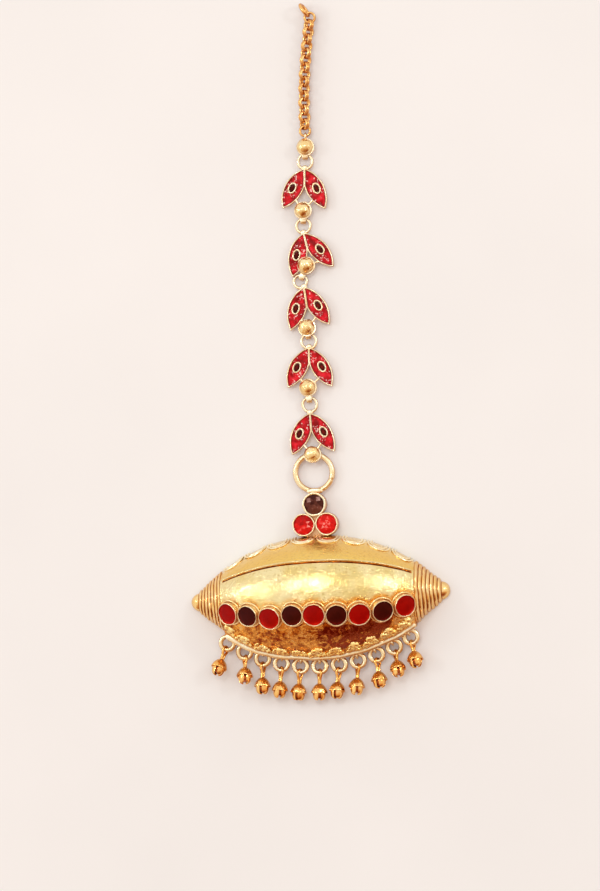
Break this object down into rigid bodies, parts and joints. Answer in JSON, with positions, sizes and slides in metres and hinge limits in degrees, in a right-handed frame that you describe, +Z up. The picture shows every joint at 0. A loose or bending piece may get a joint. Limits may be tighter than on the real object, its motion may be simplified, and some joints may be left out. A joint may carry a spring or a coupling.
{
  "type": "maang tikka",
  "caption": "Forehead jewel: fine chain, enamelled leaf links with domed beads, and a ribbed half-round barrel pendant with stone rows and a fringe of small round bells.",
  "frame": {"origin": "centre of the bounding box in X and Y, on the flat surface the piece lies on", "axes": "+Z up out of the surface, towards the front of the jewel; +Y towards the chain's free end; +X to the wearer's left, the viewer's right"},
  "size_m": [0.0602, 0.1605, 0.0156],
  "materials": {
    "gold": "polished gold-plated brass with fine scratches, slightly mottled",
    "gold_chain": "polished gold-plated wire links",
    "red_enamel": "translucent red glitter enamel, uneven glossy top",
    "red_stone": "polished opaque red glass stone",
    "dark_stone": "polished near-black garnet-coloured glass stone"
  },
  "bodies": {
    "root": {"end_ring": "gold", "chain": "gold_chain", "top_bead": "gold", "leaf_link_1": "gold", "leaf_link_2": "gold", "leaf_link_3": "gold", "leaf_link_4": "gold", "leaf_link_5": "gold", "enamel_left_1": "red_enamel", "enamel_right_1": "red_enamel", "enamel_left_2": "red_enamel", "enamel_right_2": "red_enamel", "enamel_left_3": "red_enamel", "enamel_right_3": "red_enamel", "enamel_left_4": "red_enamel", "enamel_right_4": "red_enamel", "enamel_left_5": "red_enamel", "enamel_right_5": "red_enamel", "eye_stones_1": "dark_stone", "eye_stones_2": "dark_stone", "eye_stones_3": "dark_stone", "eye_stones_4": "dark_stone", "eye_stones_5": "dark_stone", "pendant": "gold", "row_stone_1": "red_stone", "row_stone_2": "dark_stone", "row_stone_3": "red_stone", "row_stone_4": "dark_stone", "row_stone_5": "red_stone", "row_stone_6": "dark_stone", "row_stone_7": "red_stone", "row_stone_8": "dark_stone", "row_stone_9": "red_stone", "cluster_stone_top": "dark_stone", "cluster_stone_left": "red_stone", "cluster_stone_right": "red_stone", "jump_ring_1": "gold", "jump_ring_2": "gold", "jump_ring_3": "gold", "jump_ring_4": "gold", "jump_ring_5": "gold", "jump_ring_6": "gold", "jump_ring_7": "gold", "jump_ring_8": "gold", "jump_ring_9": "gold", "jump_ring_10": "gold", "jump_ring_11": "gold", "bell_1": "gold", "bell_2": "gold", "bell_3": "gold", "bell_4": "gold", "bell_5": "gold", "bell_6": "gold", "bell_7": "gold", "bell_8": "gold", "bell_9": "gold", "bell_10": "gold", "bell_11": "gold"}
  },
  "joints": []
}
